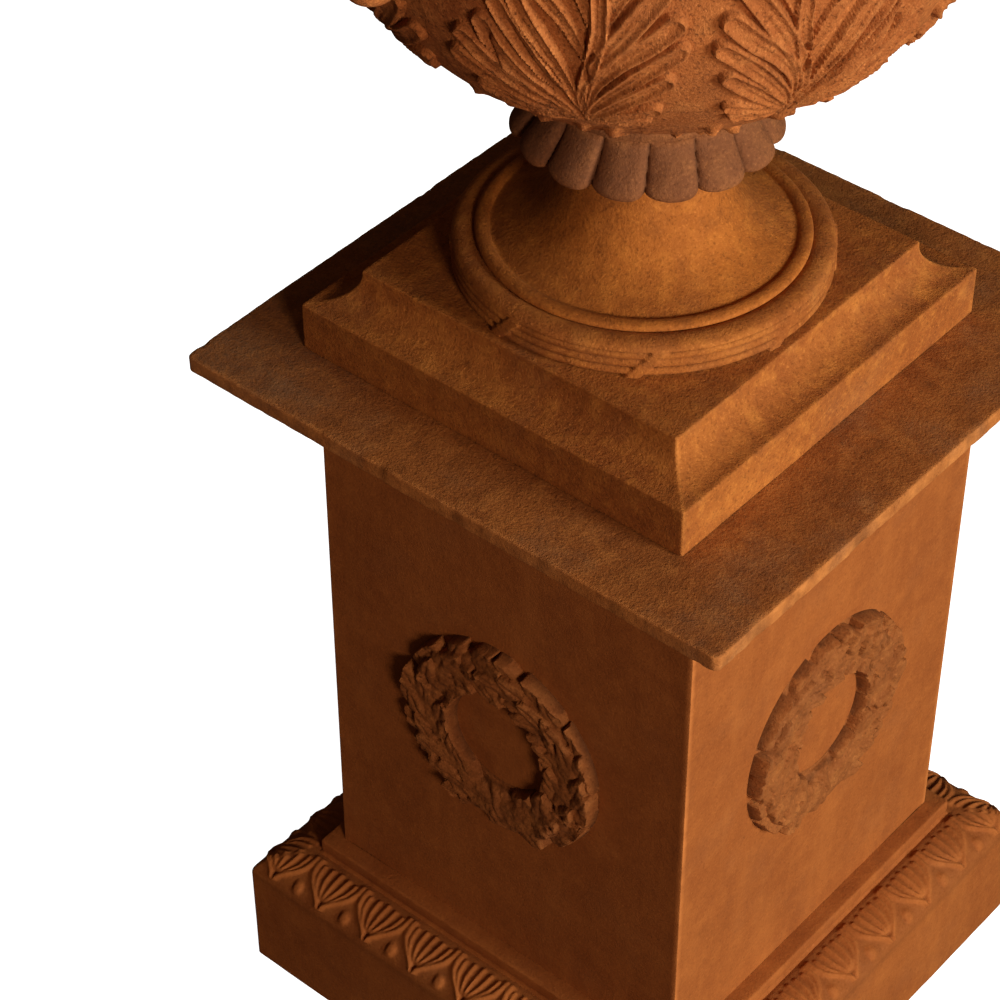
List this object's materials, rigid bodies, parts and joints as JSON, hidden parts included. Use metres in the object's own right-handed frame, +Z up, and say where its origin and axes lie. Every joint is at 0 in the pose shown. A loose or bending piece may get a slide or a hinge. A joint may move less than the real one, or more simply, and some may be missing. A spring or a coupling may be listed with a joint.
{
  "type": "amphora on a pedestal",
  "caption": "Two-handled cast-iron amphora on a flared foot, standing loose on a square hollow pedestal with laurel wreaths.",
  "frame": {"origin": "middle of the pedestal's underside, on the floor; the amphora stands 8 mm towards -X and 6.5 mm towards -Y of it", "axes": "+Z up; -Y is the front, one handle towards -Y and one towards +Y; the pedestal's sides face +X, +Y, -X and -Y"},
  "size_m": [0.4529, 0.5474, 1.3077],
  "materials": {
    "pedestal_iron": "rust-brown cast skin, sand grain",
    "slab_iron": "orange-brown rust with worn grey edges",
    "wreath_iron": "rust-brown cast relief",
    "foot_iron": "orange-brown rust, sand grain",
    "socle_iron": "smoother mid-brown rust",
    "collar_iron": "dark grey-brown patina over rust",
    "body_iron": "rust-brown cast relief",
    "handle_iron": "rust-brown cast bar",
    "fastener_steel": "oxidised steel"
  },
  "bodies": {
    "pedestal": {"base_block": "pedestal_iron", "cap_slab": "slab_iron", "cleat_bolts": "fastener_steel", "corner_cleat_1": "fastener_steel", "corner_cleat_2": "fastener_steel", "corner_cleat_3": "fastener_steel", "corner_cleat_4": "fastener_steel", "side_panel_back": "pedestal_iron", "side_panel_front": "pedestal_iron", "side_panel_left": "pedestal_iron", "side_panel_right": "pedestal_iron", "wreath_back": "wreath_iron", "wreath_front": "wreath_iron", "wreath_left": "wreath_iron", "wreath_nuts": "fastener_steel", "wreath_right": "wreath_iron", "wreath_studs": "fastener_steel"},
    "amphora": {"body_leaf_1": "body_iron", "body_leaf_2": "body_iron", "body_leaf_3": "body_iron", "body_leaf_4": "body_iron", "body_leaf_5": "body_iron", "body_leaf_6": "body_iron", "body_leaf_7": "body_iron", "body_leaf_8": "body_iron", "flange_bolts": "fastener_steel", "flange_nuts": "fastener_steel", "foot_plinth": "foot_iron", "gadroon_collar": "collar_iron", "handle_back": "handle_iron", "handle_bolts": "fastener_steel", "handle_front": "handle_iron", "lower_body_1": "body_iron", "lower_body_2": "body_iron", "lower_body_3": "body_iron", "lower_body_4": "body_iron", "neck": "body_iron", "reed_ring": "foot_iron", "reed_straps": "foot_iron", "rim": "body_iron", "shoulder": "body_iron", "socle": "socle_iron", "tie_rod": "fastener_steel", "tie_rod_nuts": "fastener_steel", "tie_rod_washers": "fastener_steel"}
  },
  "joints": [
    {"name": "amphora_lift", "type": "slide", "parent": "pedestal", "child": "amphora", "axis": [0, 0, 1], "range_m": [0, 0.6]}
  ]
}
